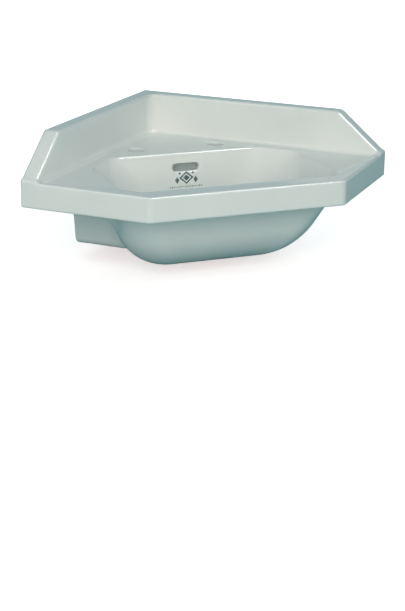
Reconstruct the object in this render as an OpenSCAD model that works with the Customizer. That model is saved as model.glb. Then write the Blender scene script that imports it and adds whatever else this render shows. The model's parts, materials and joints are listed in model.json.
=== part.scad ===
/* [Plan] */
// Length of each side that stands against a wall
wall_l = 452; // [430:1:470]
// Length of the short return at the end of each wall side
return_l = 220; // [214:1:226]
// Thickness of the cast walls
shell_t = 12; // [10:0.5:13]

/* [Rim and apron] */
// Height of the apron below the rim
apron_h = 41; // [38:1:60]
// Drop from the rim to the deck inside it
deck_drop = 3; // [2:0.5:4]
// Width of the rim along the front
front_rim = 38; // [34:1:42]

/* [Upstand] */
// Height of the upstand above the rim
upstand_h = 66.5; // [40:0.5:90]
// Thickness of the upstand
upstand_t = 27; // [22:0.5:29]
// Length of its level top, from the corner of the room
upstand_level = 373; // [330:1:390]

/* [Bowl] */
// Depth of the bowl's floor below the rim
bowl_depth = 120; // [118:0.5:121]
// Half of the bowl's straight back edge
bowl_back_half = 132; // [126:1:135]
// Distance of the bowl's back edge from the corner of the room
bowl_back_y = 203; // [202:0.5:207]
// Half of the bowl's greatest width
bowl_half_w = 184; // [180:1:188]
// Distance of the bowl's cut front corners from the corner of the room, at 45 degrees
bowl_corner = 423; // [420:1:426]
// Depth of the casting's underside below the rim
under_depth = 157; // [155:0.5:158]

/* [Rear skirt] */
// Length of the skirt along each wall, where it meets the deck
skirt_l = 291; // [280:1:296]
// Depth of the skirt's lower edge below the rim
skirt_depth = 147; // [130:1:150]
// Length of the skirt's end walls, from the wall of the room
skirt_end_l = 104; // [98:1:106]
// Lean of the skirt's end walls towards the corner of the room, going down
skirt_lean = 8; // [4:0.5:10]

/* [Tap holes, overflow and fixings] */
// Diameter of each tap hole
tap_hole_d = 26; // [24:0.5:35]
// Distance between the tap holes' centres
tap_pitch = 144; // [130:1:150]
// Distance of the tap holes from the corner of the room
tap_y = 160; // [154:1:164]
// Width of the overflow slot
overflow_w = 48; // [36:1:50]
// Height of the overflow slot
overflow_h = 12.5; // [10:0.5:14]
// Depth of the overflow slot's centre below the rim
overflow_depth = 28; // [26:1:31]
// Diameter of the fixing holes in the rear skirt
fixing_hole_d = 18; // [16:0.5:20]
// Distance of each fixing hole from the corner of the room
fixing_u = 150; // [120:1:200]
// Depth of the fixing holes below the rim
fixing_depth = 72; // [60:1:100]

/* [Waste] */
// Distance of the waste from the corner of the room
waste_y = 276; // [275:0.5:280]
// Diameter of the waste hole
waste_hole_d = 45; // [44:0.5:46]
// Outside diameter of the waste's threaded tail
tail_d = 41.91; // [41.5:0.01:42.2]
// Travel of the click plug
plug_travel = 8; // [5:0.5:8]
// Diameter of the plug's cap
cap_d = 60; // [58:0.5:61]

/* [Hidden] */
$fn = 96;
far = 700;
corner_y = -(wall_l + return_l) / sqrt(2);

// Z levels
deck_z = -deck_drop;
deck_under_z = deck_z - shell_t + 1;
floor_z = -bowl_depth;
seat_z = floor_z - 1.5;
boss_z = -150;
under_z = -under_depth;

// Casting details
skirt_corner_r = 9;
boss_h = 26;
boss_wall = 15;
tool_gap = 2;

// Bowl edges: direction of the edge's outward normal, its distance along that normal,
// the radius where its wall turns into the floor, and the wall's draft
bowl_front_y = corner_y + front_rim;
front_corner = [bowl_corner * sqrt(2) + bowl_front_y, bowl_front_y];
side_corner = [bowl_half_w, bowl_half_w - bowl_corner * sqrt(2)];
diagonal_offset = (bowl_back_half - bowl_back_y) / sqrt(2);

bowl_edges = [
  [90, -bowl_back_y, 28, 8],
  [45, diagonal_offset, 40, 19.5],
  [135, diagonal_offset, 40, 19.5],
  [0, bowl_half_w, 50, 17.5],
  [180, bowl_half_w, 50, 17.5],
  [-45, bowl_corner, 62, 16.5],
  [-135, bowl_corner, 62, 16.5],
  [-90, -bowl_front_y, 55, 23]
];
under_edges = [
  [90, -bowl_back_y + 8, 50, 7],
  [45, diagonal_offset + 8.5, 55, 21],
  [135, diagonal_offset + 8.5, 55, 21],
  [0, bowl_half_w + 8, 62, 17.5],
  [180, bowl_half_w + 8, 62, 17.5],
  [-45, bowl_corner + 9.5, 75, 15.5],
  [-135, bowl_corner + 9.5, 75, 15.5],
  [-90, -bowl_front_y + 1, 68, 21]
];

// Overflow passage, seen from the side: down behind the bowl's back wall, then forward to the waste
passage_w = overflow_w + 4;
passage_wall = 11;
passage = [
  [-bowl_back_y + 10, -17], [-bowl_back_y + 21, -17], [-bowl_back_y + 11, -128],
  [-bowl_back_y - 5, -142], [-waste_y, -142], [-waste_y, -133.5],
  [-bowl_back_y - 20, -133.5], [-bowl_back_y - 3, -116], [-bowl_back_y - 2, -100]
];
passage_cover = [
  [-bowl_back_y + 6, -10], [-bowl_back_y + 31, -10], [-bowl_back_y + 21, -132],
  [-bowl_back_y + 2, -149], [-bowl_back_y - 16, -152], [-waste_y, -152], [-waste_y, -125],
  [-bowl_back_y - 30, -125], [-bowl_back_y + 2, -60]
];

// Fixing bushes
bush_bore_d = 10.5;
bush_flange_t = 3;
bush_flange_w = 6;

// Waste
flange_r = 31.5;
gasket_t = 1;
flange_z = seat_z + gasket_t;
tail_r = tail_d / 2;
root_r = tail_r - 0.25;
tube_r = tail_r - 2.45;
neck_r = waste_hole_d / 2 - 0.4;
tail_z = -168;
rubber_t = 2.5;
slip_t = 1;
washer_r = 34;
nut_t = 6.5;
nut_w = 62;
nut_z = boss_z - rubber_t - slip_t - nut_t;
window_z = -142;
window_w = 16;
window_h = 9;
spider_z = -152;
spider_t = 6;
arm_w = 3;
hub_r = 7;
hub_bore_r = 4;
cartridge_r = 8;
cartridge_top = -128;
cap_clearance = 3;
cap_z = flange_z + cap_clearance + plug_travel;
cap_boss_z = cap_z - 2.5;
cap_boss_r = 8;
seal_r = 24;
seal_h = 4.2;
stem_r = 4;
stem_z = -135;
spring_r = 6.2;
wire_d = 1.1;
spring_turns = 5;

// A point of the plan from its distances along the right and the left wall
function at_walls(u, v) = [(u - v) / sqrt(2), -(u + v) / sqrt(2)];

// The plan's outline, set in by a different amount at the walls, the returns and the front
function plan(at_wall, at_return, at_front) =
  let (end = wall_l - at_return)
  let (turn = return_l + at_return - at_front * sqrt(2))
  [
    at_walls(at_wall, at_wall), at_walls(end, at_wall), at_walls(end, turn),
    at_walls(turn, end), at_walls(at_wall, end)
  ];

// Outline of the deck, inside the rim. Its front corners end just inside the bowl.
deck_inset = 2;
deck_end_l = wall_l - 7;
deck_side = side_corner + [-deck_inset, deck_inset / 2];
deck_front = front_corner + [-deck_inset / 2, deck_inset];
deck_outline = [
  at_walls(upstand_t, upstand_t), at_walls(deck_end_l, upstand_t),
  deck_side, deck_front,
  [-deck_front.x, deck_front.y], [-deck_side.x, deck_side.y],
  at_walls(upstand_t, deck_end_l)
];

// Children drawn against the right wall, where X runs along it and -Y is into the room,
// and mirrored against the left one
module against_wall(left) {
  mirror([left ? 1 : 0, 0, 0])
    rotate([0, 0, -45])
      children();
}

// A body bounded by one drafted wall per edge, each turning into the floor with its own radius
module drafted_body(edges, top, reference, floor_level) {
  intersection_for (edge = edges) {
    reach = reference - floor_level;
    radius = edge[2];
    lean = tan(edge[3]);
    profile = [
      [(reference - top) * lean, top],
      for (a = [0:9:90])
        let (rise = radius * (1 - sin(a)))
        [radius * (1 - cos(a)) + (reach - rise) * lean, floor_level + rise],
      [far, floor_level],
      [far, top]
    ];
    rotate([0, 0, edge[0] + 180])
      translate([-edge[1], 0, 0])
        rotate([90, 0, 0])
          linear_extrude(height = 2 * far, center = true)
            polygon(profile);
  }
}

// A prism along X from an outline in the YZ plane
module along_x(outline, width) {
  rotate([90, 0, 90])
    linear_extrude(height = width, center = true)
      polygon(outline);
}

module rim_and_apron() {
  difference() {
    translate([0, 0, -apron_h])
      linear_extrude(height = apron_h)
        polygon(plan(0, 0, 0));
    translate([0, 0, -apron_h - 1])
      linear_extrude(height = apron_h + 1 + deck_under_z)
        polygon(plan(shell_t, shell_t, shell_t));
  }
}

module upstand() {
  outline = [[0, -1], [wall_l, -1], [wall_l, 0], [upstand_level, upstand_h], [0, upstand_h]];
  for (left = [false, true])
    against_wall(left)
      rotate([90, 0, 0])
        linear_extrude(height = upstand_t)
          polygon(outline);
}

// One side of the skirt: a panel along the wall, and an end wall that leans in going down
module rear_skirt() {
  lean = tan(skirt_lean);
  low_l = skirt_l - lean * (skirt_depth + deck_under_z);
  corner = skirt_corner_r * 0.6;
  outline = [
    [0, deck_under_z + 1], [0, -skirt_depth],
    [low_l - skirt_corner_r, -skirt_depth], [low_l - corner / 2, corner / 2 - skirt_depth],
    [low_l + lean * skirt_corner_r, skirt_corner_r - skirt_depth],
    [skirt_l, deck_under_z + 1]
  ];
  hollow = [
    [-far, deck_under_z + 2], [-far, -far],
    [skirt_l - shell_t - lean * (far + deck_under_z), -far], [skirt_l - shell_t, deck_under_z + 2]
  ];
  for (left = [false, true])
    against_wall(left)
      rotate([90, 0, 0])
        difference() {
          linear_extrude(height = skirt_end_l)
            polygon(outline);
          translate([0, 0, shell_t])
            linear_extrude(height = skirt_end_l)
              polygon(hollow);
        }
}

module overflow_slot() {
  straight = overflow_w - overflow_h;
  translate([0, -bowl_back_y + 15, -overflow_depth])
    rotate([90, 0, 0])
      linear_extrude(height = 30)
        union() {
          square([straight, overflow_h], center = true);
          for (side = [-1, 1])
            translate([side * straight / 2, 0])
              circle(d = overflow_h);
        }
}

module basin() {
  color("ghostwhite")
    difference() {
      union() {
        rim_and_apron();
        upstand();
        rear_skirt();
        drafted_body(under_edges, deck_under_z + 2, deck_under_z, under_z);
        along_x(passage_cover, passage_w + 2 * passage_wall);
        translate([0, -waste_y, boss_z])
          cylinder(h = boss_h, d = waste_hole_d + 2 * boss_wall);
      }
      translate([0, 0, deck_z])
        linear_extrude(height = deck_drop + 1)
          polygon(deck_outline);
      drafted_body(bowl_edges, 2, deck_z, floor_z);
      overflow_slot();
      along_x(passage, passage_w);
      translate([0, -waste_y, under_z - 5])
        cylinder(h = boss_z - under_z + 5, d = waste_hole_d + 2 * (boss_wall + tool_gap));
      translate([0, -waste_y, under_z - 5])
        cylinder(h = under_depth, d = waste_hole_d);
      translate([0, -waste_y, seat_z])
        cylinder(h = 8, r = flange_r + 1);
      for (side = [-1, 1])
        translate([side * tap_pitch / 2, -tap_y, deck_under_z - 5])
          cylinder(h = shell_t + 10, d = tap_hole_d);
      for (left = [false, true])
        against_wall(left)
          translate([fixing_u, 1, -fixing_depth])
            rotate([90, 0, 0])
              cylinder(h = shell_t + 2, d = fixing_hole_d);
    }
}

// Flanged bush in one of the fixing holes, with its flange on the inside of the skirt
module fixing_bush(left) {
  color("gainsboro")
    against_wall(left)
      translate([fixing_u, 0, -fixing_depth])
        rotate([90, 0, 0])
          difference() {
            union() {
              translate([0, 0, 1])
                cylinder(h = shell_t, d = fixing_hole_d - 0.2);
              translate([0, 0, shell_t])
                cylinder(h = bush_flange_t, d = fixing_hole_d + 2 * bush_flange_w);
            }
            translate([0, 0, -1])
              cylinder(h = shell_t + 6, d = bush_bore_d);
          }
}

module fixing_bush_left() {
  fixing_bush(true);
}

module fixing_bush_right() {
  fixing_bush(false);
}

// Children drawn about the waste's vertical axis
module at_waste() {
  translate([0, -waste_y, 0])
    children();
}

module waste_ring(low, high, inner, outer) {
  at_waste()
    translate([0, 0, low])
      difference() {
        cylinder(h = high - low, r = outer);
        translate([0, 0, -1])
          cylinder(h = high - low + 2, r = inner);
      }
}

// Flanged tube with overflow windows and a spider that carries the click cartridge
module waste_body() {
  outline = [
    [tube_r, tail_z], [tail_r, tail_z], [tail_r, nut_z], [root_r, nut_z],
    [root_r, flange_z - 6.5], [neck_r, flange_z - 5.5],
    [neck_r, flange_z], [flange_r, flange_z], [flange_r, flange_z + 1.2],
    [flange_r - 1, flange_z + 2], [27, flange_z + 1.8], [neck_r + 0.4, flange_z + 0.3],
    [tube_r, flange_z - 3]
  ];
  color("silver")
    at_waste()
      difference() {
        union() {
          rotate_extrude()
            polygon(outline);
          for (turn = [45, 135, 225, 315])
            rotate([0, 0, turn])
              translate([hub_r - 1.5, -arm_w / 2, spider_z])
                cube([tube_r - hub_r + 2.5, arm_w, spider_t]);
          translate([0, 0, spider_z])
            cylinder(h = spider_t, r = hub_r);
        }
        translate([0, 0, spider_z - 1])
          cylinder(h = spider_t + 2, r = hub_bore_r);
        for (turn = [0, 90, 180, 270])
          rotate([0, 0, turn])
            translate([tube_r - 4, -window_w / 2, window_z])
              cube([10, window_w, window_h]);
      }
}

module flange_gasket() {
  color("dimgray")
    waste_ring(seat_z, flange_z, neck_r + 0.1, flange_r - 0.5);
}

module rubber_washer() {
  color("dimgray")
    waste_ring(boss_z - rubber_t, boss_z, tail_r + 0.1, washer_r);
}

module slip_washer() {
  color("whitesmoke")
    waste_ring(nut_z + nut_t, nut_z + nut_t + slip_t, tail_r + 0.1, washer_r - 0.5);
}

module backnut() {
  color("goldenrod")
    at_waste()
      translate([0, 0, nut_z])
        difference() {
          union() {
            cylinder(h = nut_t, d = nut_w, $fn = 6);
            translate([0, 0, nut_t - 1.5])
              cylinder(h = 1.5, d = nut_w + 1);
          }
          translate([0, 0, -1])
            cylinder(h = nut_t + 2, r = root_r + 0.05);
        }
}

// Barrel screwed down onto the spider, open at the top for the plug's stem
module click_cartridge() {
  color("whitesmoke")
    at_waste()
      difference() {
        union() {
          translate([0, 0, spider_z])
            cylinder(h = spider_t, r = hub_bore_r - 0.05);
          translate([0, 0, spider_z + spider_t])
            cylinder(h = cartridge_top - spider_z - spider_t, r = cartridge_r);
        }
        translate([0, 0, spider_z + spider_t + 3])
          cylinder(h = 30, r = stem_r + 0.4);
      }
}

// Round-wire compression spring between the cartridge and the plug
module click_spring() {
  sides = 6;
  steps_per_turn = 12;
  rings = spring_turns * steps_per_turn;
  low = cartridge_top + wire_d / 2 + 0.05;
  lift = (cap_boss_z - wire_d / 2 - 0.05 - low) / rings;
  points = [
    for (i = [0:rings], j = [0:sides - 1])
      let (turn = i * 360 / steps_per_turn)
      let (around = j * 360 / sides)
      let (reach = spring_r + wire_d / 2 * cos(around))
      [reach * cos(turn), reach * sin(turn), low + i * lift + wire_d / 2 * sin(around)]
  ];
  skin = [
    for (i = [0:rings - 1], j = [0:sides - 1])
      let (next = (j + 1) % sides)
      [i * sides + j, i * sides + next, (i + 1) * sides + next, (i + 1) * sides + j]
  ];
  start_cap = [[for (j = [0:sides - 1]) sides - 1 - j]];
  end_cap = [[for (j = [0:sides - 1]) rings * sides + j]];
  color("lightsteelblue")
    at_waste()
      polyhedron(points, concat(skin, start_cap, end_cap));
}

module plug_stem() {
  color("silver")
    at_waste()
      translate([0, 0, stem_z])
        cylinder(h = cap_z + 1 - stem_z, r = stem_r);
}

// Domed cap with a boss below that takes the stem
module plug_cap() {
  cap_r = cap_d / 2;
  dome = [for (a = [0:10:90]) [(cap_r - 1.5) * sin(90 - a) + 0.01, cap_z + 1.5 + 3.4 * sin(a)]];
  outline = concat(
    [[0, cap_z], [cap_r - 0.8, cap_z], [cap_r, cap_z + 0.8]],
    dome,
    [[0, cap_z + 4.9]]
  );
  color("silver")
    at_waste()
      difference() {
        union() {
          rotate_extrude()
            polygon(outline);
          translate([0, 0, cap_boss_z])
            cylinder(h = 3, r = cap_boss_r);
        }
        translate([0, 0, cap_boss_z - 1])
          cylinder(h = cap_z + 2 - cap_boss_z, r = stem_r);
      }
}

// Seal under the cap, shaped to the dish of the waste's flange
module plug_seal() {
  bore_r = cap_boss_r + 0.2;
  outline = [
    [bore_r, cap_z], [seal_r, cap_z], [seal_r, cap_z - 1],
    [seal_r - 4.5, cap_z - seal_h], [bore_r, cap_z - seal_h]
  ];
  color("black")
    at_waste()
      rotate_extrude()
        polygon(outline);
}

basin();
fixing_bush_left();
fixing_bush_right();
waste_body();
flange_gasket();
rubber_washer();
slip_washer();
backnut();
click_cartridge();
click_spring();
plug_stem();
plug_cap();
plug_seal();
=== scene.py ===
"""Looks of a wall-hung corner wash basin: the glazed casting, its waste and its fixings, in metres."""

import json
import math

import bpy
import numpy as np
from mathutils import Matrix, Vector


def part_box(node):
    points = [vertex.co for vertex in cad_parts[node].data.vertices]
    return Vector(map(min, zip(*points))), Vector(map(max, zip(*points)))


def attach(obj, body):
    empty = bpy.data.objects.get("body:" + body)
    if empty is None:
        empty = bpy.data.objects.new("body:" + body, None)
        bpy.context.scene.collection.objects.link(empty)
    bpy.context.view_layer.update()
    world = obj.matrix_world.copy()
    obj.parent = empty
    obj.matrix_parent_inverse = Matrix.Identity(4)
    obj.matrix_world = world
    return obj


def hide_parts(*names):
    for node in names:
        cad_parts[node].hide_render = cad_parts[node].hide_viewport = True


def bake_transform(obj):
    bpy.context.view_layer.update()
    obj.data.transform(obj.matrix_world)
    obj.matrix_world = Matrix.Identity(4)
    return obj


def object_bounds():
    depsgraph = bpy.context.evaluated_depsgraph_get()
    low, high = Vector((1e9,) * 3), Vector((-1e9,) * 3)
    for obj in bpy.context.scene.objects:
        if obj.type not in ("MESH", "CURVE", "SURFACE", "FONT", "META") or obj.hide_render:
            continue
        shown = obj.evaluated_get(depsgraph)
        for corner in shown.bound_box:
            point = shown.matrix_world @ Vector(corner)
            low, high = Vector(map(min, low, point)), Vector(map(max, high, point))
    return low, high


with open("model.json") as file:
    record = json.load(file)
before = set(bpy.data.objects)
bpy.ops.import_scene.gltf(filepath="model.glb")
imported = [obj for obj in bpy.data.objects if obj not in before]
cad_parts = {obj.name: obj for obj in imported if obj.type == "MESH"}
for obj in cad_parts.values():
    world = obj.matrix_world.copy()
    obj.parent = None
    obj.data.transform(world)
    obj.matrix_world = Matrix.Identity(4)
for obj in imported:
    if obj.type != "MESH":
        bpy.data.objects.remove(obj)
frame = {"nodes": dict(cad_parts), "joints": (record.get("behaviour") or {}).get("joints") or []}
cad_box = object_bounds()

import openvdb
from mathutils import Matrix, Vector

ROOT2 = math.sqrt(2)


# ---------------------------------------------------------------- sizes
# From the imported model
BASIN_LOW, BASIN_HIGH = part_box("basin")
WALL = BASIN_HIGH[0] * ROOT2
DEPTH = -BASIN_LOW[1]
UPSTAND_H = BASIN_HIGH[2]
UNDER_Z = BASIN_LOW[2]
FLANGE_LOW, FLANGE_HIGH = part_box("flange_gasket")
SEAT_Z = FLANGE_LOW[2]
WASTE_Y = (FLANGE_LOW[1] + FLANGE_HIGH[1]) / 2
BOSS_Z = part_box("rubber_washer")[1][2]
WASTE_LOW, WASTE_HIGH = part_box("waste_body")
NUT_LOW, NUT_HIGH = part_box("backnut")
CARTRIDGE_LOW, CARTRIDGE_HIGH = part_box("click_cartridge")
CAP_LOW, CAP_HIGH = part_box("plug_cap")
STEM_LOW, STEM_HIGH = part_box("plug_stem")

# The casting
APRON = 0.041
DECK_Z = -0.003
DECK_UNDER = -0.014
SHELL = 0.012
UPSTAND_T = 0.027
UPSTAND_LEVEL = 0.373
FRONT_RIM = 0.038
FLOOR_Z = SEAT_Z + 0.0015
BOWL_BACK = -0.203
BOWL_BACK_HALF = 0.132
BOWL_HALF_W = 0.184
BOWL_CORNER = 0.423
BOWL_FRONT = -DEPTH + FRONT_RIM
SKIRT_Z = -0.147
SKIRT_L = 0.291
SKIRT_LEAN = math.radians(8)
SKIRT_END_L = 0.104
SLOT_W = 0.048
SLOT_H = 0.0125
SLOT_Z = -0.028
TAP_X = 0.072
TAP_Y = -0.160
TAP_R = 0.013
FIXING_U = 0.150
FIXING_Z = -0.072
FIXING_R = 0.009
WASTE_HOLE_R = 0.0225
BOWL_BACK_DRAFT = 8
COVER_SIDE = 0.013
PASSAGE_SIDE = 0.002
BOSS_R = 0.0375
BOSS_TOP = -0.125
WASHER_POCKET_R = 0.0395
FLANGE_POCKET_R = 0.0325
VOXEL = 0.0023

# The waste, a 1 1/4 inch set with a thread of 11 turns to the inch
TAIL_R = 0.020955
THREAD_DEPTH = 0.0012
THREAD_PITCH = 0.0023091
TUBE_R = 0.0185
FLANGE_Z = FLANGE_HIGH[2]
FLANGE_R = (WASTE_HIGH[0] - WASTE_LOW[0]) / 2
WINDOW_HALF_W = 0.008
WINDOW_HALF_H = 0.0045
WINDOW_Z = -0.1375
SPIDER_Z = CARTRIDGE_LOW[2]
SPIDER_T = 0.006
ARM_HALF_T = 0.0015
HUB_R = 0.007
HUB_BORE_R = 0.004
SPIGOT_R = 0.0039
BARREL_R = 0.008
BARREL_BORE_R = 0.0044
FLUTES = 16
FLUTE_DEPTH = 0.0004
SPRING_WIRE_R = 0.00055
BOLT_R = 0.00525

# The printed mark
PRINT_LIFT = 0.00015
PRINT_ROOT = -0.0002
PRINT_MIDDLE = -0.0430
DOT = 0.0001

# The floor's glow, near the basin and far from it
FLOOR_GLOW = (0.66, 1.0)


# ---------------------------------------------------------------- field shapes
# A field is negative inside its shape and gives metres near the surface.
def meet(a, b, radius):
    """Intersection with its edge rounded."""
    inner = np.minimum(-radius, np.maximum(a, b))
    return inner + np.hypot(np.maximum(a + radius, 0), np.maximum(b + radius, 0))


def join(a, b, radius):
    """Union with its inner corner filled to a radius."""
    return -meet(-a, -b, radius)


def cut(a, b, radius):
    """a without b, with the edge rounded."""
    return meet(a, -b, radius)


def plane(angle, offset, x, y):
    """Distance in front of an upright plane whose normal points at angle in plan."""
    turn = math.radians(angle)
    return x * math.cos(turn) + y * math.sin(turn) - offset


def outline_distance(points, p, q):
    """Signed distance to a closed outline, negative inside."""
    nearest = np.full(np.broadcast(p, q).shape, 1e9, np.float32)
    inside = np.zeros(nearest.shape, bool)
    for (ax, ay), (bx, by) in zip(points, points[1:] + points[:1]):
        along = ((p - ax) * (bx - ax) + (q - ay) * (by - ay)) / ((bx - ax) ** 2 + (by - ay) ** 2)
        along = np.clip(along, 0, 1)
        nearest = np.minimum(nearest, np.hypot(p - ax - along * (bx - ax), q - ay - along * (by - ay)))
        if ay != by:
            crosses = ((q < ay) != (q < by)) & (p < (bx - ax) * (q - ay) / (by - ay) + ax)
            inside ^= crosses
    return np.where(inside, -nearest, nearest)


def smoothstep(low, high, value):
    t = np.clip((value - low) / (high - low), 0, 1)
    return t * t * (3 - 2 * t)


def at_walls(u, v):
    """A plan point from its distances along the right and the left wall."""
    return ((u - v) / ROOT2, -(u + v) / ROOT2)


def drafted(walls, x, y, z, reference, crease, floor_z, floor_radius):
    """A bowl: drafted walls with creases that soften downwards, turning into a floor."""
    crease_now = crease[0] + crease[1] * np.maximum(reference - z, 0)
    sides = None
    for angle, offset, draft in walls:
        side = plane(angle, offset, x, y) + (reference - z) * math.tan(math.radians(draft))
        side = side * math.cos(math.radians(draft))
        sides = side if sides is None else meet(sides, side, crease_now)
    return meet(sides, floor_z - z, floor_radius)


DIAGONAL = (BOWL_BACK_HALF + BOWL_BACK) / ROOT2
# Each wall is the way it faces in plan, its distance from the corner, and its draft in degrees
BOWL_WALLS = [
    (90, BOWL_BACK, BOWL_BACK_DRAFT), (45, DIAGONAL, 19.5), (135, DIAGONAL, 19.5),
    (0, BOWL_HALF_W, 17.5), (180, BOWL_HALF_W, 17.5), (-45, BOWL_CORNER, 16.5),
    (-135, BOWL_CORNER, 16.5), (-90, -BOWL_FRONT, 23),
]
UNDER_WALLS = [
    (90, BOWL_BACK + 0.008, 7), (45, DIAGONAL + 0.0085, 21), (135, DIAGONAL + 0.0085, 21),
    (0, BOWL_HALF_W + 0.008, 17.5), (180, BOWL_HALF_W + 0.008, 17.5), (-45, BOWL_CORNER + 0.0095, 15.5),
    (-135, BOWL_CORNER + 0.0095, 15.5), (-90, 0.001 - BOWL_FRONT, 21),
]
SIDE_CORNER = (BOWL_HALF_W, BOWL_HALF_W - BOWL_CORNER * ROOT2)
FRONT_CORNER = (BOWL_CORNER * ROOT2 + BOWL_FRONT, BOWL_FRONT)
DECK_OUTLINE = [
    at_walls(UPSTAND_T - 0.01, UPSTAND_T - 0.01), at_walls(WALL - 0.007, UPSTAND_T - 0.01),
    SIDE_CORNER, FRONT_CORNER, (-FRONT_CORNER[0], FRONT_CORNER[1]),
    (-SIDE_CORNER[0], SIDE_CORNER[1]), at_walls(UPSTAND_T - 0.01, WALL - 0.007),
]
# The overflow's hidden way down to the waste, and the ceramic around it, as seen from the side
PASSAGE = [
    (BOWL_BACK + 0.010, -0.017), (BOWL_BACK + 0.021, -0.017), (BOWL_BACK + 0.011, -0.128),
    (BOWL_BACK - 0.005, -0.142), (WASTE_Y, -0.142), (WASTE_Y, -0.1335),
    (BOWL_BACK - 0.020, -0.1335), (BOWL_BACK - 0.003, -0.116), (BOWL_BACK - 0.002, -0.100),
]
PASSAGE_COVER = [
    (BOWL_BACK + 0.006, -0.010), (BOWL_BACK + 0.031, -0.010), (BOWL_BACK + 0.021, -0.132),
    (BOWL_BACK + 0.002, -0.149), (BOWL_BACK - 0.016, -0.152), (WASTE_Y, -0.152), (WASTE_Y, -0.125),
    (BOWL_BACK - 0.030, -0.125), (BOWL_BACK + 0.002, -0.060),
]


def bowl_hollow(x, y, z):
    floor_radius = 0.028 + 0.036 * smoothstep(0.232, 0.320, -y)
    return drafted(BOWL_WALLS, x, y, z, DECK_Z, (0.010, 0.30), FLOOR_Z, floor_radius)


def casting_field(x, y, z):
    """The whole ceramic casting. Its outer sides are cut last, in one go."""
    right = (x + y) / ROOT2
    left = (y - x) / ROOT2
    u, v = -left, -right
    sides = ((u, v), (v, u))
    walls = np.maximum(right, left)
    returns = np.maximum(u - WALL, v - WALL)
    front = -y - DEPTH
    inner_plan = meet(meet(walls + SHELL, returns + SHELL, 0.012), front + SHELL, 0.012)

    # Rim, apron and deck
    deck = outline_distance(DECK_OUTLINE, x, y)
    top = z - DECK_Z * smoothstep(0.004, -0.006, deck)
    slab = np.maximum(top, -APRON - z)

    # Upstands, level and then sloping down to the ends of the walls
    fall = math.hypot(UPSTAND_H, WALL - UPSTAND_LEVEL)
    head = z - UPSTAND_H
    for along, across in sides:
        slope = (along - UPSTAND_LEVEL) * UPSTAND_H + (z - UPSTAND_H) * (WALL - UPSTAND_LEVEL)
        head = meet(head, slope / fall, 0.003)
    stands = join(u - UPSTAND_T, v - UPSTAND_T, 0.022)
    stands = meet(stands, head, 0.0055)
    stands = np.maximum(stands, DECK_UNDER - z)
    body = join(slab, stands, 0.008)
    body = cut(body, meet(inner_plan, z - DECK_UNDER, 0.008), 0.003)

    # Underside of the bowl, overflow cover and rear skirt
    under_radius = 0.049 + 0.016 * smoothstep(0.240, 0.330, -y)
    under = drafted(UNDER_WALLS, x, y, z, DECK_UNDER, (0.016, 0.38), UNDER_Z, under_radius)
    cover = meet(outline_distance(PASSAGE_COVER, y, z), np.abs(x) - SLOT_W / 2 - COVER_SIDE, 0.006)
    under = join(under, cover, 0.008)
    skirt, outermost = None, None
    for along, across in sides:
        end = (along - SKIRT_L + math.tan(SKIRT_LEAN) * (DECK_UNDER - z)) * math.cos(SKIRT_LEAN)
        side = meet(join(across - SHELL, -end - SHELL, 0.012), end, 0.003)
        side = meet(side, across - SKIRT_END_L, 0.005)
        skirt = side if skirt is None else join(skirt, side, 0.015)
        outermost = end if outermost is None else np.maximum(outermost, end)
    skirt = meet(skirt, SKIRT_Z - z, 0.0045 + 0.0055 * smoothstep(-0.016, -0.003, outermost))
    under = np.maximum(join(under, skirt, 0.020), z - DECK_UNDER - 0.002)
    body = join(body, under, 0.007)

    # Bowl, waste boss and seat
    waste = np.hypot(x, y - WASTE_Y)
    boss = np.maximum(waste - BOSS_R, z - BOSS_TOP)
    body = join(body, boss, 0.006)
    body = np.maximum(cut(body, bowl_hollow(x, y, z), 0.0026), UNDER_Z - z)
    body = cut(body, np.maximum(waste - WASHER_POCKET_R, z - BOSS_Z), 0.002)
    body = cut(body, np.maximum(waste - FLANGE_POCKET_R, SEAT_Z - z), 0.0015)

    # Holes
    body = cut(body, waste - WASTE_HOLE_R, 0.0012)
    passage = meet(outline_distance(PASSAGE, y, z), np.abs(x) - SLOT_W / 2 - PASSAGE_SIDE, 0.004)
    body = cut(body, passage, 0.002)
    slot_x = np.maximum(np.abs(x) - (SLOT_W - SLOT_H) / 2, 0)
    slot = np.hypot(slot_x, z - SLOT_Z) - SLOT_H / 2
    body = cut(body, np.maximum(slot, np.abs(y - BOWL_BACK) - 0.015), 0.0022)
    tap = np.hypot(np.abs(x) - TAP_X, y - TAP_Y) - TAP_R
    body = cut(body, np.maximum(tap, np.abs(z - DECK_Z) - 0.03), 0.0016)
    for along, across in sides:
        bolt = np.hypot(along - FIXING_U, z - FIXING_Z) - FIXING_R
        body = cut(body, np.maximum(bolt, across - 0.03), 0.001)

    # Outer sides
    outer = meet(returns, front, 0.004)
    return meet(meet(body, outer, 0.0028), walls, 0.003)


def add_piece(name, points, faces, body, material):
    """A smooth mesh in one material. It rides its body, or is left without one when the body is None.
    """
    mesh = bpy.data.meshes.new(name)
    mesh.from_pydata(points, [], faces)
    mesh.update()
    mesh.shade_smooth()
    mesh.materials.append(material)
    piece = bpy.data.objects.new(name, mesh)
    bpy.context.collection.objects.link(piece)
    if body:
        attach(piece, body)
    return piece


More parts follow.
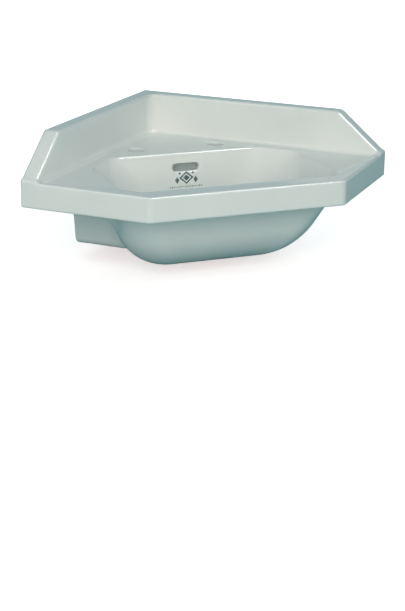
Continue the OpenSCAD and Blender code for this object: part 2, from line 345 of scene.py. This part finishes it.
def field_surface(field, low, high, voxel, mirrored=False):
    """Points and faces of a field's surface, each point pulled onto it. A mirrored field is worked
    out on its right side only."""
    pad = 3 * voxel
    if mirrored:
        x = np.arange(int(math.ceil((high[0] + pad) / voxel)) + 1) * voxel
    else:
        x = np.arange(low[0] - pad, high[0] + pad, voxel)
    y = np.arange(low[1] - pad, high[1] + pad, voxel)
    z = np.arange(low[2] - pad, high[2] + pad, voxel)
    values = field(*(axis.astype(np.float32) for axis in np.ix_(x, y, z))).astype(np.float32)
    if mirrored:
        values = np.concatenate([values[:0:-1], values], axis=0)
    grid = openvdb.FloatGrid(background=1.0)
    grid.copyFromArray(values)
    points, quads = grid.convertToQuads(isovalue=0.0)
    points = points * voxel + np.array([-x[-1] if mirrored else x[0], y[0], z[0]])
    step = voxel / 6
    for _ in range(3):
        here = field(*points.T)
        slope = np.stack([
            (field(*(points + step * axis).T) - field(*(points - step * axis).T)) / (2 * step)
            for axis in np.eye(3)], axis=1)
        steepness = np.maximum((slope ** 2).sum(1), 0.2)
        move = -(here / steepness)[:, None] * slope
        points = points + np.clip(move, -voxel / 2, voxel / 2)
    return points, quads


# ---------------------------------------------------------------- materials
class Nodes:
    """Short names for building a material's node tree."""

    def __init__(self, name):
        self.material = bpy.data.materials.new(name)
        self.material.use_nodes = True
        self.tree = self.material.node_tree
        self.shader = self.tree.nodes["Principled BSDF"]
        self.place = self.tree.nodes.new("ShaderNodeTexCoord").outputs["Object"]

    def add(self, kind, **settings):
        node = self.tree.nodes.new(kind)
        for key, value in settings.items():
            setattr(node, key, value)
        return node

    def link(self, out, socket):
        self.tree.links.new(out, socket)

    def noise(self, scale, detail=3.0, roughness=0.5, stretch=None):
        place = self.place
        if stretch:
            mapping = self.add("ShaderNodeMapping")
            mapping.inputs["Scale"].default_value = stretch
            self.link(place, mapping.inputs["Vector"])
            place = mapping.outputs["Vector"]
        node = self.add("ShaderNodeTexNoise")
        node.inputs["Scale"].default_value = scale
        node.inputs["Detail"].default_value = detail
        node.inputs["Roughness"].default_value = roughness
        self.link(place, node.inputs["Vector"])
        return node.outputs["Fac"]

    def spread(self, value, low, high, from_low=0.0, from_high=1.0):
        """A value taken from one range to another."""
        node = self.add("ShaderNodeMapRange")
        for key, number in (("From Min", from_low), ("From Max", from_high),
                            ("To Min", low), ("To Max", high)):
            node.inputs[key].default_value = number
        self.link(value, node.inputs["Value"])
        return node.outputs["Result"]

    def mix(self, factor, first, second):
        """A colour between two, each a tuple or an output."""
        node = self.add("ShaderNodeMix", data_type="RGBA")
        self.link(factor, node.inputs[0])
        for socket, colour in ((node.inputs[6], first), (node.inputs[7], second)):
            if isinstance(colour, tuple):
                socket.default_value = (*colour, 1.0)
            else:
                self.link(colour, socket)
        return node.outputs[2]

    def blend(self, factor, first, second):
        """A value between two, each a number or an output."""
        node = self.add("ShaderNodeMix", data_type="FLOAT")
        self.link(factor, node.inputs[0])
        for socket, value in ((node.inputs[2], first), (node.inputs[3], second)):
            if isinstance(value, float):
                socket.default_value = value
            else:
                self.link(value, socket)
        return node.outputs[0]

    def bump(self, height, distance, strength):
        node = self.add("ShaderNodeBump")
        node.inputs["Distance"].default_value = distance
        node.inputs["Strength"].default_value = strength
        self.link(height, node.inputs["Height"])
        return node.outputs["Normal"]

    def finish(self, colour, rough, normal, **constants):
        """The material, with its outputs linked and any other shader socket set."""
        self.link(colour, self.shader.inputs["Base Color"])
        self.link(rough, self.shader.inputs["Roughness"])
        self.link(normal, self.shader.inputs["Normal"])
        for key, value in constants.items():
            self.shader.inputs[key.replace("_", " ")].default_value = value
        return self.material


def glazed_ceramic():
    """White glaze with a mottle and ripple, painted shade in the holes as a darker, cooler glaze, and
    bare biscuit at walls and foot.
    """
    n = Nodes("glazed_ceramic")
    bare = n.add("ShaderNodeAttribute", attribute_name="bare").outputs["Fac"]
    mottle = n.spread(n.noise(9.0, 4.0), 0, 1, 0.35, 0.65)
    glaze = n.mix(mottle, (0.775, 0.815, 0.795), (0.815, 0.845, 0.825))
    speck = n.spread(n.noise(900.0, 1.0), 0, 1, 0.79, 0.84)
    glaze = n.mix(speck, glaze, (0.55, 0.56, 0.54))
    # Painted shade: inside the overflow passage and the tap holes the glaze is mixed towards a darker
    # cool teal, which stands in for the shade there.
    painted_hole_shade = n.add("ShaderNodeAttribute", attribute_name="painted_hole_shade").outputs["Fac"]
    glaze = n.mix(painted_hole_shade, glaze, n.mix(n.noise(90.0, 4.0), (0.56, 0.68, 0.69), (0.66, 0.76, 0.76)))
    biscuit = n.mix(n.noise(260.0, 5.0), (0.62, 0.59, 0.53), (0.76, 0.73, 0.67))
    gloss = n.spread(n.noise(30.0, 3.0), 0.07, 0.13)
    dry = n.spread(n.noise(140.0, 4.0), 0.62, 0.82)
    ripple = n.bump(n.noise(34.0, 2.0), 0.0006, 0.35)
    grain = n.bump(n.noise(1300.0, 4.0), 0.0003, 0.5)
    normal = n.add("ShaderNodeMix", data_type="VECTOR")
    n.link(bare, normal.inputs[0])
    n.link(ripple, normal.inputs[4])
    n.link(grain, normal.inputs[5])
    return n.finish(n.mix(bare, glaze, biscuit), n.blend(bare, gloss, dry), normal.outputs[1], IOR=1.52)


def plated_chrome(name):
    n = Nodes(name)
    colour = n.mix(n.noise(18.0, 3.0), (0.72, 0.73, 0.74), (0.80, 0.81, 0.82))
    rough = n.spread(n.noise(70.0, 4.0), 0.06, 0.14)
    scratch = n.bump(n.noise(220.0, 3.0, stretch=(1.0, 9.0, 1.0)), 0.00005, 0.25)
    return n.finish(colour, rough, scratch, Metallic=1.0)


def turned_metal(name, dark, light, rough_low, rough_high):
    n = Nodes(name)
    tarnish = n.spread(n.noise(45.0, 5.0), 0, 1, 0.3, 0.7)
    rings = n.noise(60.0, 3.0, stretch=(0.3, 0.3, 24.0))
    return n.finish(n.mix(tarnish, dark, light), n.spread(rings, rough_low, rough_high),
                    n.bump(rings, 0.0001, 0.35), Metallic=1.0)


def moulded(name, dark, light, rough_low, rough_high, grain=700.0, depth=0.0001):
    n = Nodes(name)
    colour = n.mix(n.noise(55.0, 4.0), dark, light)
    rough = n.spread(n.noise(120.0, 3.0), rough_low, rough_high)
    return n.finish(colour, rough, n.bump(n.noise(grain, 3.0), depth, 0.4))


def printed_enamel():
    """The fired print of the mark: dark green-grey, thin in places."""
    n = Nodes("printed_enamel")
    worn = n.spread(n.noise(420.0, 4.0), 0, 1, 0.52, 0.72)
    return n.finish(n.mix(worn, (0.085, 0.135, 0.135), (0.30, 0.38, 0.37)),
                    n.spread(n.noise(60.0), 0.10, 0.18), n.bump(n.noise(34.0, 2.0), 0.0006, 0.2))


CERAMIC = glazed_ceramic()
CHROME = plated_chrome("plated_chrome")
BRASS = turned_metal("turned_brass", (0.50, 0.36, 0.15), (0.74, 0.57, 0.28), 0.20, 0.42)
STEEL = turned_metal("stainless", (0.42, 0.43, 0.44), (0.62, 0.63, 0.64), 0.22, 0.40)
NYLON = moulded("nylon", (0.70, 0.70, 0.66), (0.80, 0.80, 0.76), 0.38, 0.55)
ACETAL = moulded("acetal", (0.76, 0.77, 0.75), (0.84, 0.84, 0.82), 0.28, 0.42)
RUBBER = moulded("rubber", (0.020, 0.020, 0.021), (0.045, 0.045, 0.046), 0.55, 0.80, 900.0, 0.0002)
PRINT = printed_enamel()

NODE_MATERIALS = {
    "basin": CERAMIC, "fixing_bush_left": NYLON, "fixing_bush_right": NYLON, "waste_body": CHROME,
    "flange_gasket": RUBBER, "rubber_washer": RUBBER, "slip_washer": NYLON, "backnut": BRASS,
    "click_cartridge": ACETAL, "click_spring": STEEL, "plug_stem": STEEL, "plug_cap": CHROME,
    "plug_seal": RUBBER,
}
for node, material in NODE_MATERIALS.items():
    for place in frame["nodes"][node].material_slots:
        place.material = material


# ---------------------------------------------------------------- the casting
def casting():
    """The ceramic, with its bare places and its places of painted shade in the holes written on the
    mesh.
    """
    points, quads = field_surface(casting_field, BASIN_LOW, BASIN_HIGH, VOXEL, mirrored=True)
    piece = add_piece("basin_casting", points.tolist(), quads.tolist(), "basin", CERAMIC)
    x, y, z = points.T
    waver = 0.0004 * np.sin(170 * x + 2 * np.sin(90 * z)) + 0.0003 * np.sin(310 * z + 140 * x)
    wall_gap = -np.maximum(x + y, y - x) / ROOT2
    at_wall = smoothstep(0.0022, 0.0010, wall_gap + waver)
    at_foot = smoothstep(0.0028, 0.0014, z - SKIRT_Z + waver) * (wall_gap < SKIRT_END_L)
    bare = piece.data.attributes.new("bare", "FLOAT", "POINT")
    bare.data.foreach_set("value", np.maximum(at_wall, at_foot).astype(np.float32))
    # Painted shade: a mask that darkens the glaze inside the overflow passage behind the slot, and at
    # 35 percent in the tap holes.
    behind = y - BOWL_BACK - (z - DECK_Z) * math.tan(math.radians(BOWL_BACK_DRAFT))
    by_slot = (y < BOWL_BACK + 0.025) * (z < DECK_UNDER) * (np.abs(x) < SLOT_W / 2 + 0.004)
    painted_hole_shade = smoothstep(0.0005, 0.0040, behind) * by_slot
    hole = np.hypot(np.abs(x) - TAP_X, y - TAP_Y)
    painted_hole_shade = np.maximum(painted_hole_shade, 0.35 * smoothstep(TAP_R + 0.0012, TAP_R + 0.0002, hole))
    depth = piece.data.attributes.new("painted_hole_shade", "FLOAT", "POINT")
    depth.data.foreach_set("value", painted_hole_shade.astype(np.float32))
    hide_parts("basin")


# ---------------------------------------------------------------- the waste
def thread(x, y, z):
    """0 at a thread's root and 1 at its crest, around the waste's axis."""
    turn = z / THREAD_PITCH - np.arctan2(y - WASTE_Y, x) / (2 * math.pi)
    return smoothstep(0.15, 0.85, np.abs(turn % 1 * 2 - 1))


def waste_field(x, y, z):
    """Flanged tube with a threaded tail, overflow windows and a spider for the click cartridge."""
    across, along = x, y - WASTE_Y
    r = np.hypot(across, along)
    fade = smoothstep(SEAT_Z - 0.0040, SEAT_Z - 0.0055, z)
    shank = r - (TAIL_R - THREAD_DEPTH * (1 - thread(x, y, z)) * fade)
    shank = meet(shank, (r - TAIL_R + WASTE_LOW[2] + 0.0012 - z) / ROOT2, 0.0002)
    neck = meet(r - TAIL_R - 0.0010, SEAT_Z - 0.0050 - z, 0.0006)
    shank = np.maximum(join(shank, neck, 0.0006), z - FLANGE_Z)
    dish = z - FLANGE_Z - 0.0002 - 0.0018 * smoothstep(TAIL_R + 0.0015, 0.0275, r)
    flange = meet(meet(r - FLANGE_R, dish, 0.0010), FLANGE_Z - z, 0.0003)
    body = meet(join(shank, flange, 0.0005), WASTE_LOW[2] - z, 0.0002)
    mouth = r - TUBE_R - np.maximum(z - FLANGE_Z + 0.003, 0)
    body = cut(body, mouth, 0.0008)
    window = np.minimum(np.abs(across), np.abs(along)) - WINDOW_HALF_W
    window = meet(window, np.abs(z - WINDOW_Z) - WINDOW_HALF_H, 0.003)
    window = meet(window, 0.014 - r, 0.001)
    body = cut(body, window, 0.0006)
    slant = np.minimum(np.abs(across + along), np.abs(across - along)) / ROOT2
    level = np.abs(z - SPIDER_Z - SPIDER_T / 2) - SPIDER_T / 2
    arms = meet(meet(slant - ARM_HALF_T, level, 0.0006), r - TUBE_R - 0.0008, 0.0002)
    hub = meet(r - HUB_R, level, 0.0008)
    body = join(body, join(arms, hub, 0.0010), 0.0008)
    return cut(body, r - HUB_BORE_R, 0.0004)


def nut_field(x, y, z):
    """Hexagonal backnut with turned-down corners, a washer face and a threaded bore."""
    across, along = x, y - WASTE_Y
    r = np.hypot(across, along)
    half = (NUT_HIGH[0] - NUT_LOW[0]) / 2 - 0.0005
    flats = half * math.cos(math.pi / 6)
    slanting = np.abs(across) * math.cos(math.pi / 6) + np.abs(along) / 2
    hexagon = np.maximum(np.abs(along), slanting) - flats
    corner = (r - half + 0.0008) * 0.5 + (NUT_LOW[2] - z) * 0.87
    body = meet(meet(hexagon, corner, 0.0004), NUT_LOW[2] - z, 0.0003)
    body = np.maximum(body, z - NUT_HIGH[2] + 0.0015)
    face = meet(r - half - 0.0004, np.abs(z - NUT_HIGH[2] + 0.00075) - 0.00075, 0.0003)
    body = join(body, face, 0.0005)
    bore = TAIL_R - 0.0001 - THREAD_DEPTH * 0.8 * (1 - thread(x, y, z))
    bore = bore + np.maximum(NUT_LOW[2] + 0.0015 - z, 0) + np.maximum(z - NUT_HIGH[2] + 0.0015, 0)
    return cut(body, r - bore, 0.0002)


def cartridge_field(x, y, z):
    """Fluted barrel with a spigot, open at the top for the stem."""
    across, along = x, y - WASTE_Y
    r = np.hypot(across, along)
    shoulder = SPIDER_Z + SPIDER_T
    flutes = FLUTE_DEPTH * (0.5 + 0.5 * np.cos(FLUTES * np.arctan2(along, across)))
    flutes = flutes * smoothstep(shoulder + 0.002, shoulder + 0.004, z)
    flutes = flutes * smoothstep(CARTRIDGE_HIGH[2] - 0.002, CARTRIDGE_HIGH[2] - 0.004, z)
    barrel = meet(r - BARREL_R + flutes, shoulder - z, 0.0006)
    barrel = meet(barrel, z - CARTRIDGE_HIGH[2], 0.0008)
    spigot = meet(r - SPIGOT_R, CARTRIDGE_LOW[2] - z, 0.0006)
    spigot = meet(spigot, z - shoulder - 0.001, 0.0001)
    body = np.minimum(barrel, spigot)
    return cut(body, np.maximum(r - BARREL_BORE_R, shoulder + 0.002 - z), 0.0005)


def small_casting(name, field, low, high, voxel, node, material):
    """A field's surface as a piece in place of a CAD node."""
    points, quads = field_surface(field, low, high, voxel * (1))
    piece = add_piece(name, points.tolist(), quads.tolist(), "basin", material)
    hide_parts(node)


def rounded(outline, radius, steps=5):
    """An outline with its corners rounded, where there is room."""
    result = []
    for before, at, after in zip(outline[-1:] + outline[:-1], outline, outline[1:] + outline[:1]):
        a, b, c = Vector(before), Vector(at), Vector(after)
        reach = min(radius, (a - b).length * 0.45, (c - b).length * 0.45)
        start, end = b + (a - b).normalized() * reach, b + (c - b).normalized() * reach
        for step in range(steps + 1):
            t = step / steps
            result.append(tuple(start * (1 - t) ** 2 + b * 2 * t * (1 - t) + end * t ** 2))
    return result


def turned(name, outline, matrix, body, material, node, turns=128):
    """A closed outline of (radius, height) points, turned about the matrix's Z axis."""
    count = len(outline)
    points = []
    for turn in range(turns):
        angle = 2 * math.pi * turn / turns
        points += [matrix @ Vector((r * math.cos(angle), r * math.sin(angle), h)) for r, h in outline]
    faces = []
    for turn in range(turns):
        here, there = turn * count, (turn + 1) % turns * count
        for k in range(count):
            nxt = (k + 1) % count
            faces.append((here + k, there + k, there + nxt, here + nxt))
    piece = add_piece(name, points, faces, body, material)
    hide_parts(node)


def on_waste(level):
    """The waste's axis, with its zero at a level."""
    return Matrix.Translation((0, WASTE_Y, level))


def ring(low, high, inner, outer):
    """A washer's outline."""
    return [(inner, low), (outer, low), (outer, high), (inner, high)]


def waste_set():
    """The pieces of the waste that are fixed to the casting."""
    small_casting("waste_body_turned", waste_field, WASTE_LOW, WASTE_HIGH, 0.00042,
                  "waste_body", CHROME)
    small_casting("backnut_turned", nut_field, NUT_LOW, NUT_HIGH, 0.00042, "backnut", BRASS)
    small_casting("cartridge_barrel", cartridge_field, CARTRIDGE_LOW, CARTRIDGE_HIGH, 0.00035,
                  "click_cartridge", ACETAL)
    gasket = FLANGE_HIGH[2] - FLANGE_LOW[2]
    turned("flange_gasket_ring", rounded(ring(0, gasket, 0.0222, FLANGE_R - 0.0005), 0.0004),
           on_waste(SEAT_Z), "basin", RUBBER, "flange_gasket")
    low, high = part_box("rubber_washer")
    outer = high[0] - 0.0001
    taper = [(TAIL_R + 0.0001, low[2]), (outer - 0.0008, low[2]), (outer, low[2] + 0.0008),
             (outer, high[2]), (TAIL_R + 0.0001, high[2])]
    turned("rubber_washer_ring", rounded(taper, 0.0007),
           on_waste(0), "basin", RUBBER, "rubber_washer")
    low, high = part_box("slip_washer")
    flat = ring(low[2], high[2], TAIL_R + 0.0001, high[0] - 0.0001)
    turned("slip_washer_ring", rounded(flat, 0.0003),
           on_waste(0), "basin", NYLON, "slip_washer")


def plug_set():
    """The pieces that move: a domed cap with a turned groove, its lip seal and the grooved stem."""
    low, high = CAP_LOW[2], CAP_HIGH[2]
    base = low + 0.0025
    edge = CAP_HIGH[0]
    dome = [(edge * math.sin(a) * 0.955, base + 0.0012 + (high - base - 0.0012) * math.cos(a) ** 0.9)
            for a in (math.radians(84 - 6 * k) for k in range(14))]
    groove = [(r, h - 0.0005 * math.exp(-((r - edge * 0.80) / 0.0006) ** 2)) for r, h in dome]
    boss = [(0.0042, low), (0.008, low), (0.008, base)]
    outline = rounded(boss + [(edge, base), (edge, base + 0.0014)], 0.0005)
    outline += groove + [(0.0004, high), (0.0004, base + 0.001), (0.0042, base + 0.001)]
    turned("plug_cap_turned", outline, on_waste(0), "plug", CHROME, "plug_cap")
    seal_low, seal_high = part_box("plug_seal")
    lip = seal_high[0]
    seal = [(0.0083, seal_low[2]), (lip - 0.0045, seal_low[2]), (lip - 0.0022, seal_low[2] + 0.0020),
            (lip, seal_high[2] - 0.0010), (lip, seal_high[2]), (0.0083, seal_high[2])]
    turned("plug_seal_ring", rounded(seal, 0.0008),
           on_waste(0), "plug", RUBBER, "plug_seal")
    radius = STEM_HIGH[0]
    stem = [(0.0003, STEM_LOW[2]), (radius - 0.0012, STEM_LOW[2]), (radius, STEM_LOW[2] + 0.0020),
            (radius, STEM_LOW[2] + 0.0060), (radius - 0.0008, STEM_LOW[2] + 0.0066),
            (radius - 0.0008, STEM_LOW[2] + 0.0082), (radius, STEM_LOW[2] + 0.0088),
            (radius, STEM_HIGH[2]), (0.0003, STEM_HIGH[2])]
    turned("plug_stem_turned", rounded(stem, 0.0003),
           on_waste(0), "plug", STEEL, "plug_stem", turns=64)


def click_spring(coils=4.5, steps=180, sides=12):
    """Round wire between the cartridge and the cap. Its heights are spaced unevenly at rest, so that
    moving each by its share of the travel would leave the coils evenly spaced when pressed, never
    meeting."""
    low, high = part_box("click_spring")
    mean = high[0] - SPRING_WIRE_R
    bottom, top = low[2] + SPRING_WIRE_R, high[2] - SPRING_WIRE_R
    travel = -frame["joints"][0]["range_m"][0]
    heights = np.linspace(bottom, top, 400)
    share = smoothstep(bottom, top, heights)
    pressed = heights - travel * share
    rises = np.interp(np.linspace(pressed[0], pressed[-1], steps + 1), pressed, heights)
    points, faces = [], []
    for k, rise in enumerate(rises):
        turn = 2 * math.pi * coils * k / steps
        out = Vector((math.cos(turn), math.sin(turn), 0))
        for j in range(sides):
            around = 2 * math.pi * j / sides
            reach = out * (mean + SPRING_WIRE_R * math.cos(around))
            points.append((reach.x, reach.y + WASTE_Y, rise + SPRING_WIRE_R * math.sin(around)))
    for k in range(steps):
        for j in range(sides):
            nxt = (j + 1) % sides
            faces.append((k * sides + j, k * sides + nxt, (k + 1) * sides + nxt, (k + 1) * sides + j))
    faces.append(tuple(reversed(range(sides))))
    faces.append(tuple(steps * sides + j for j in range(sides)))
    piece = add_piece("click_spring_wire", points, faces, None, STEEL)
    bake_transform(piece)
    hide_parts("click_spring")


def fixing_bushes():
    """A flanged bush in each wall's fixing hole, pushed in from inside the skirt."""
    shank, flange = FIXING_R - 0.0001, FIXING_R + 0.006
    outline = rounded([(BOLT_R, 0.001), (shank, 0.001), (shank, SHELL), (flange, SHELL),
                       (flange, SHELL + 0.003), (BOLT_R, SHELL + 0.003)], 0.0009)
    for name, side in (("fixing_bush_left", -1), ("fixing_bush_right", 1)):
        out = Vector((-side, -1, 0)).normalized()
        along = Vector((side, -1, 0)).normalized() * FIXING_U + Vector((0, 0, FIXING_Z))
        matrix = Matrix.Translation(along) @ out.to_track_quat("Z", "Y").to_matrix().to_4x4()
        turned(name + "_moulded", outline, matrix, "basin", NYLON, name, turns=64)


# ---------------------------------------------------------------- the printed mark
def lozenge(s, t, half_s, half_t):
    return [(s - half_s, t), (s, t - half_t), (s + half_s, t), (s, t + half_t)]


def printed_mark():
    """A plain fired print on the bowl's back wall: lozenges above a broken line."""
    lean = math.radians(BOWL_BACK_DRAFT)
    across = Vector((1, 0, 0))
    up = Vector((0, math.sin(lean), math.cos(lean)))
    out = across.cross(up)
    foot = Vector((0, BOWL_BACK, DECK_Z))
    points, faces = [], []

    def place(s, t, lift):
        points.append(foot + across * s + up * t + out * lift)
        return len(points) - 1

    def band(outer, inner):
        """A raised strip between two outlines, with both its edges let into the glaze."""
        section = ((outer, PRINT_ROOT), (outer, PRINT_LIFT), (inner, PRINT_LIFT), (inner, PRINT_ROOT))
        rows = [[place(s, t, lift) for s, t in line] for line, lift in section]
        for low, high in zip(rows, rows[1:]):
            for k in range(len(outer)):
                nxt = (k + 1) % len(outer)
                faces.append((low[k], low[nxt], high[nxt], high[k]))

    def patch(s, t, half_s, half_t):
        """A lozenge that is filled in."""
        band(lozenge(s, t, half_s, half_t), lozenge(s, t, DOT, DOT))

    band(lozenge(0, PRINT_MIDDLE, 0.0130, 0.0108), lozenge(0, PRINT_MIDDLE, 0.0092, 0.0076))
    patch(0, PRINT_MIDDLE, 0.0062, 0.0052)
    for side in (-1, 1):
        patch(side * 0.0168, PRINT_MIDDLE - 0.0036, 0.0040, 0.0058)
        patch(side * 0.0118, PRINT_MIDDLE + 0.0078, 0.0024, 0.0024)
    for k in range(15):
        along, tall = (k - 7) * 0.0041 - 0.0015, 0.0011 + 0.0003 * (k * 5 % 3)
        patch(along, PRINT_MIDDLE - 0.0150, 0.0013, tall)
    add_piece("printed_mark", points, faces, "basin", PRINT)


casting()
waste_set()
plug_set()
click_spring()
fixing_bushes()
printed_mark()


# ---------------------------------------------------------------- floor, light and camera
def plain_floor():
    """Near white where the camera sees it, a mid tone for the light that it sends back up, and clear
    from below."""
    n = Nodes("pale_floor")
    tone = n.mix(n.noise(3.0, 2.0), (0.90, 0.885, 0.885), (0.92, 0.905, 0.905))
    n.finish(tone, n.spread(n.noise(5.0), 0.7, 0.8), n.bump(n.noise(40.0), 0.0002, 0.1))
    place = n.add("ShaderNodeNewGeometry")
    away = n.add("ShaderNodeVectorMath", operation="DISTANCE")
    n.link(place.outputs["Position"], away.inputs[0])
    away.inputs[1].default_value = (0.0, -0.3, 0.0)
    glow = n.spread(away.outputs["Value"], *FLOOR_GLOW, 0.4, 2.2)
    n.shader.inputs["Emission Color"].default_value = (1.0, 0.92, 0.915, 1.0)
    n.link(glow, n.shader.inputs["Emission Strength"])
    dim = n.add("ShaderNodeBsdfDiffuse")
    dim.inputs["Color"].default_value = (0.25, 0.47, 0.50, 1.0)
    seen = n.add("ShaderNodeMixShader")
    n.link(n.add("ShaderNodeLightPath").outputs["Is Camera Ray"], seen.inputs[0])
    n.link(dim.outputs[0], seen.inputs[1])
    n.link(n.shader.outputs[0], seen.inputs[2])
    clear = n.add("ShaderNodeBsdfTransparent")
    either = n.add("ShaderNodeMixShader")
    n.link(place.outputs["Backfacing"], either.inputs[0])
    n.link(seen.outputs[0], either.inputs[1])
    n.link(clear.outputs[0], either.inputs[2])
    n.link(either.outputs[0], n.tree.nodes["Material Output"].inputs["Surface"])
    half = 6.0
    level = cad_box[0][2] - 0.004
    corners = [(x * half, y * half, level) for x, y in ((-1, -1), (1, -1), (1, 1), (-1, 1))]
    mesh = bpy.data.meshes.new("floor")
    mesh.from_pydata(corners, [], [(0, 1, 2, 3)])
    mesh.materials.append(n.material)
    floor = bpy.data.objects.new("floor", mesh)
    bpy.context.collection.objects.link(floor)


def area_light(name, place, target, size, watts, colour):
    lamp = bpy.data.lights.new(name, "AREA")
    lamp.shape = "RECTANGLE"
    lamp.size, lamp.size_y = size
    lamp.energy = watts
    lamp.color = colour
    holder = bpy.data.objects.new(name, lamp)
    holder.location = place
    holder.rotation_euler = (Vector(target) - Vector(place)).to_track_quat("-Z", "Y").to_euler()
    bpy.context.collection.objects.link(holder)
    return holder


def lights():
    """A warm key, a lamp above and one behind, and two that only glint along the glaze's edges."""
    centre = (0.0, -0.26, 0.0)
    key = area_light("key", (-1.17, -2.82, 1.03), centre, (1.7, 1.7), 53, (1.0, 0.845, 0.76))
    key.visible_glossy = False
    area_light("top", (0.0, -2.19, 2.30), centre, (0.6, 0.6), 6.5, (1.0, 0.84, 0.75))
    back = area_light("back", (1.40, 2.20, 0.55), centre, (1.4, 1.4), 26, (1.0, 0.95, 0.90))
    back.visible_glossy = False
    for name, place, watts in (("glint_front", (0.96, -1.93, 2.30), 70),
                               ("glint_side", (-1.92, -0.46, 2.30), 11)):
        glint = area_light(name, place, centre, (1.3, 0.7), watts, (1.0, 1.0, 1.0))
        glint.visible_diffuse = False
    world = bpy.data.worlds.new("studio")
    world.use_nodes = True
    glow = world.node_tree.nodes["Background"]
    glow.inputs["Color"].default_value = (0.58, 0.90, 0.98, 1.0)
    glow.inputs["Strength"].default_value = 0.365
    bpy.context.scene.world = world
    bpy.context.scene.view_settings.view_transform = "Standard"


def camera():
    """The photograph's view: a long lens from the left, a little above the rim, with a slight roll."""
    data = bpy.data.cameras.new("camera")
    data.lens = 86.9
    data.sensor_width = 36.0
    holder = bpy.data.objects.new("camera", data)
    bpy.context.collection.objects.link(holder)
    holder.location = (-0.895, -2.472, 0.570)
    aim = Vector((-0.272, -0.953, 0.0)) - holder.location
    turn = aim.to_track_quat("-Z", "Y").to_matrix() @ Matrix.Rotation(math.radians(0.88), 3, "Z")
    holder.rotation_euler = turn.to_euler()
    bpy.context.scene.camera = holder


plain_floor()
lights()
camera()
